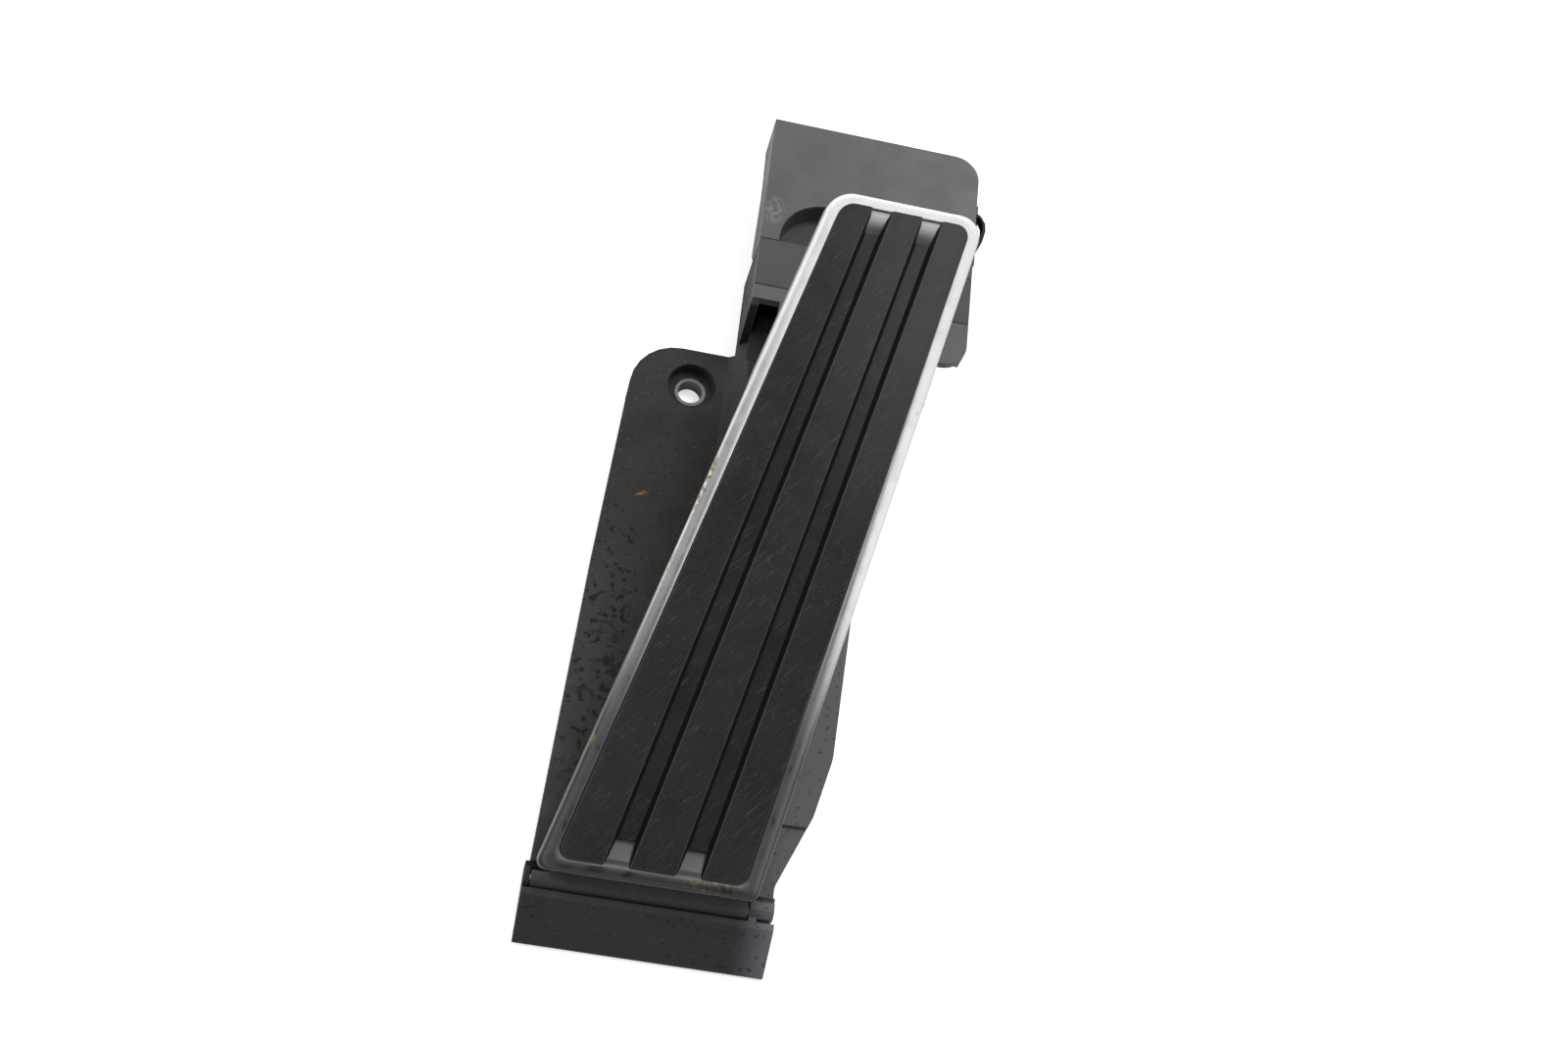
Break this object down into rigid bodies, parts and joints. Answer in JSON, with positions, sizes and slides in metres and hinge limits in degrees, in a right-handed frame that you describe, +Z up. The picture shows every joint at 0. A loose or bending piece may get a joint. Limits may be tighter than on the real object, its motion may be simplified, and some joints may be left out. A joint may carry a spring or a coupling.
{
  "type": "accelerator pedal",
  "caption": "Floor-hinged accelerator pedal: a long ribbed rubber tread in a bright metal tray on a black moulded base with a sensor housing behind.",
  "frame": {"origin": "on the axis of the flank bolt, in the plane of the underside", "axes": "+Z up, along the flank bolt's hole; +Y from the foot to the sensor housing; +X across, to the right as the driver sees it"},
  "size_m": [0.1047, 0.2511, 0.0877],
  "materials": {
    "carrier_plastic": "black glass-filled nylon, lightly dusty",
    "housing_plastic": "dark grey moulded plastic",
    "black_plastic": "black moulded plastic",
    "tread": "matte charcoal rubber",
    "tray": "polished stainless sheet",
    "zinc": "zinc-plated steel",
    "steel": "plain steel",
    "spring_steel": "spring steel wire",
    "stop_rubber": "black rubber",
    "lever_plastic": "natural glass-filled nylon",
    "bush_plastic": "natural acetal",
    "copper": "copper",
    "board": "green laminate",
    "terminal": "tinned brass"
  },
  "bodies": {
    "carrier": {"base_carrier": "carrier_plastic", "flank_sleeve": "zinc", "housing_sleeve": "zinc", "sensor_housing": "housing_plastic", "housing_lid": "black_plastic", "bridge_cover": "housing_plastic", "connector_socket": "black_plastic", "connector_terminals": "terminal", "latch_loop": "black_plastic", "circuit_board": "board", "sensor_coil": "copper", "hinge_pin": "steel", "lever_shaft": "steel", "shaft_clip": "spring_steel", "spring_seat": "steel", "outer_spring": "spring_steel", "inner_spring": "spring_steel", "end_stop": "stop_rubber", "rest_bumper": "stop_rubber", "cover_screws": "zinc", "lid_screws": "zinc"},
    "pedal": {"pedal_body": "black_plastic", "hinge_bushes": "bush_plastic", "trim_tray": "tray", "tread_rubber": "tread", "tray_studs": "black_plastic"},
    "lever": {"drive_lever": "lever_plastic", "lever_bushes": "bush_plastic", "tip_pin": "steel", "tip_rollers": "bush_plastic", "sensor_target": "copper"},
    "shoe": {"friction_shoe": "bush_plastic"}
  },
  "joints": [
    {"name": "pedal_hinge", "type": "hinge", "parent": "carrier", "child": "pedal", "pos_m": [0, -0.1522, 0.0084], "axis": [-1, 0, 0], "range_deg": [0, 12], "stiffness_Nm_per_rad": 10, "springref_deg": -11.46},
    {"name": "lever_pivot", "type": "hinge", "parent": "carrier", "child": "lever", "pos_m": [0.0445, 0.03245, 0.02], "axis": [1, 0, 0], "range_deg": [0, 27.6]},
    {"name": "shoe_slide", "type": "slide", "parent": "carrier", "child": "shoe", "axis": [0, 0, -1], "range_m": [0, 0.00716], "deforming": ["outer_spring", "inner_spring"]}
  ],
  "couplings": [
    {"joint": "lever_pivot", "follows": "pedal_hinge", "ratio": 2.3},
    {"joint": "shoe_slide", "follows": "pedal_hinge", "m_per_rad": 0.03416}
  ]
}
